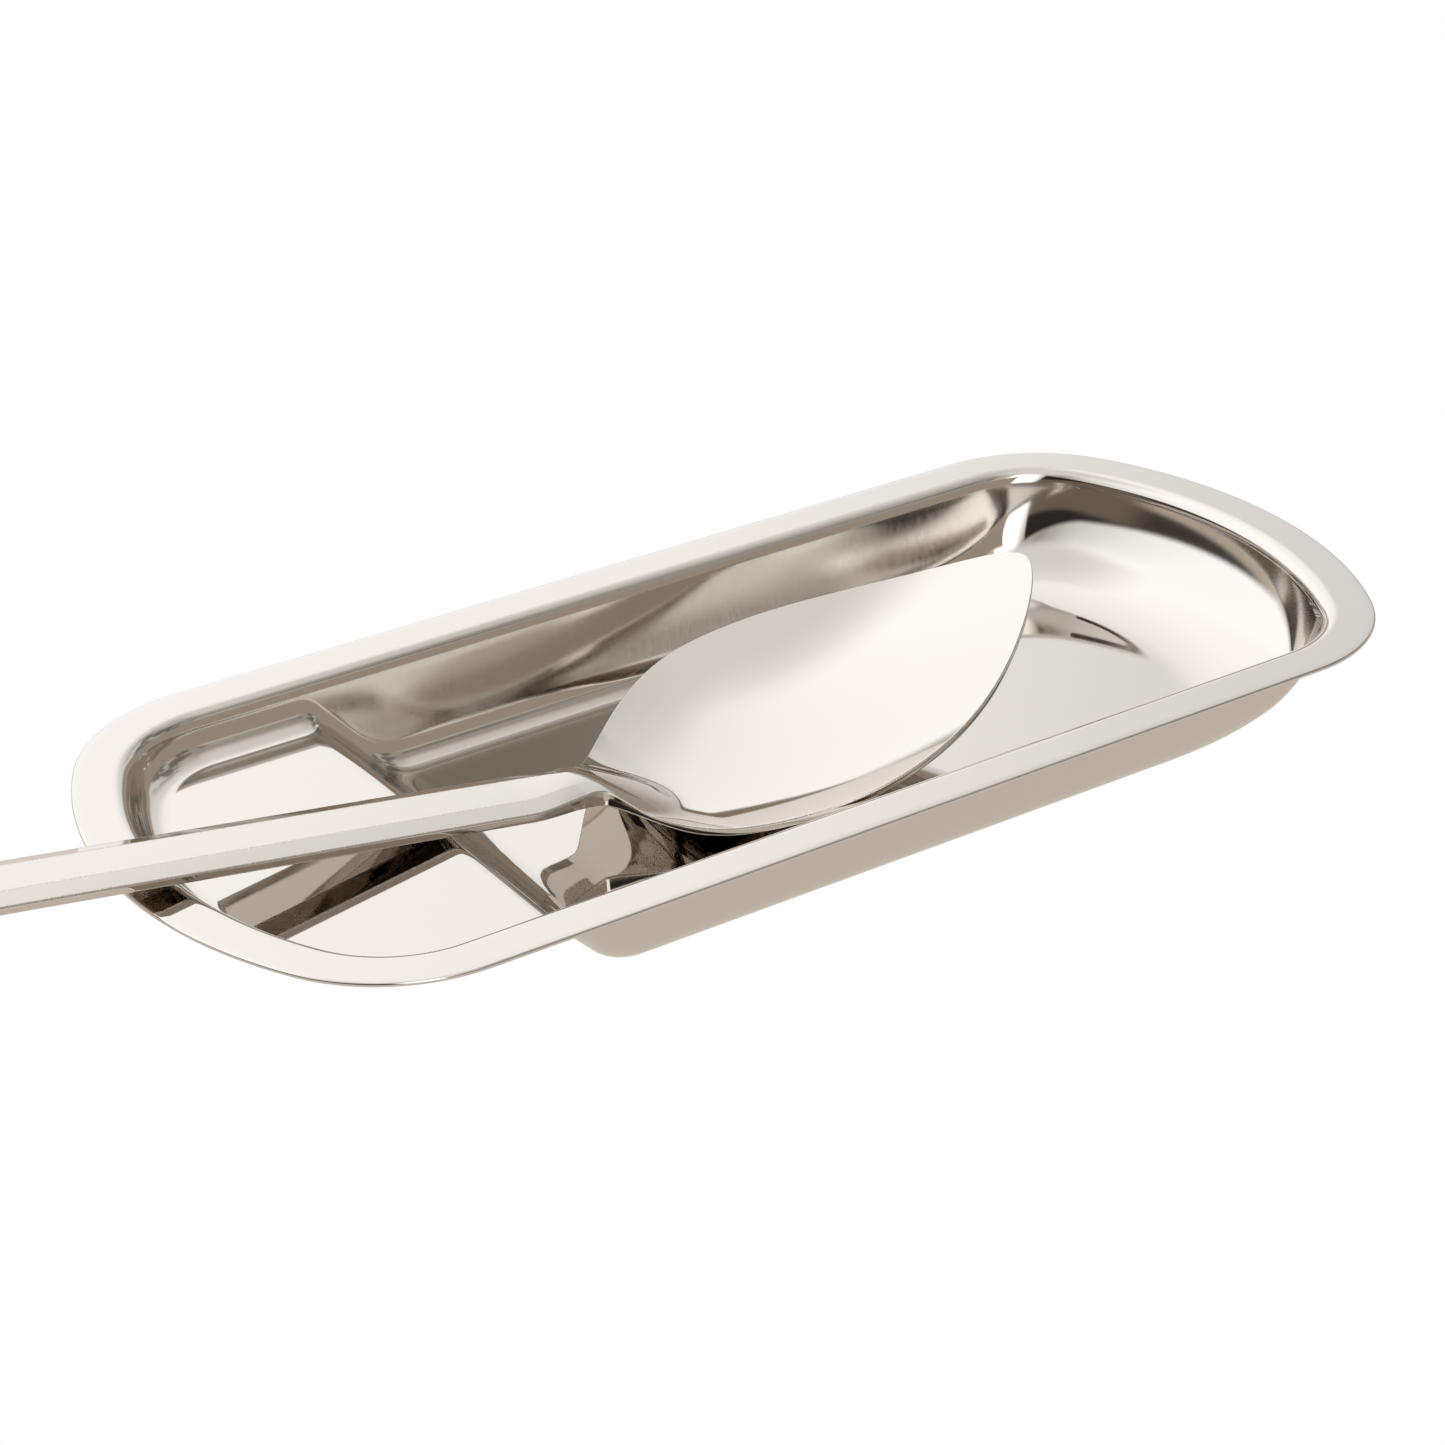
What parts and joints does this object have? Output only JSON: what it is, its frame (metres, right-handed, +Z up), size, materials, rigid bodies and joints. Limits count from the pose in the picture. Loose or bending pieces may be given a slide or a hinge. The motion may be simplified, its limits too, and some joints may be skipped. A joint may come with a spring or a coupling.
{
  "type": "spoon rest",
  "caption": "Stepped stainless-steel spoon rest: a flanged tray with a shallow shelf and a deep scooped well, holding a polished table spoon.",
  "frame": {"origin": "on the underside of the well floor, in the middle of the tray, so the tray stands on the plane Z = 0", "axes": "+X along the tray towards the scooped end, +Y across the tray, +Z up"},
  "size_m": [0.2481, 0.0786, 0.0288],
  "materials": {
    "tray_steel": "bright-rolled stainless sheet, mirror flange and floors, drawn satin walls",
    "spoon_steel": "forged stainless, mirror-buffed faces and gritty ground edges"
  },
  "bodies": {
    "tray": {"tray": "tray_steel"},
    "spoon": {"spoon": "spoon_steel"}
  },
  "joints": [
    {"name": "spoon_lift", "type": "slide", "parent": "tray", "child": "spoon", "axis": [0, 0, 1], "range_m": [0, 0.06]}
  ]
}
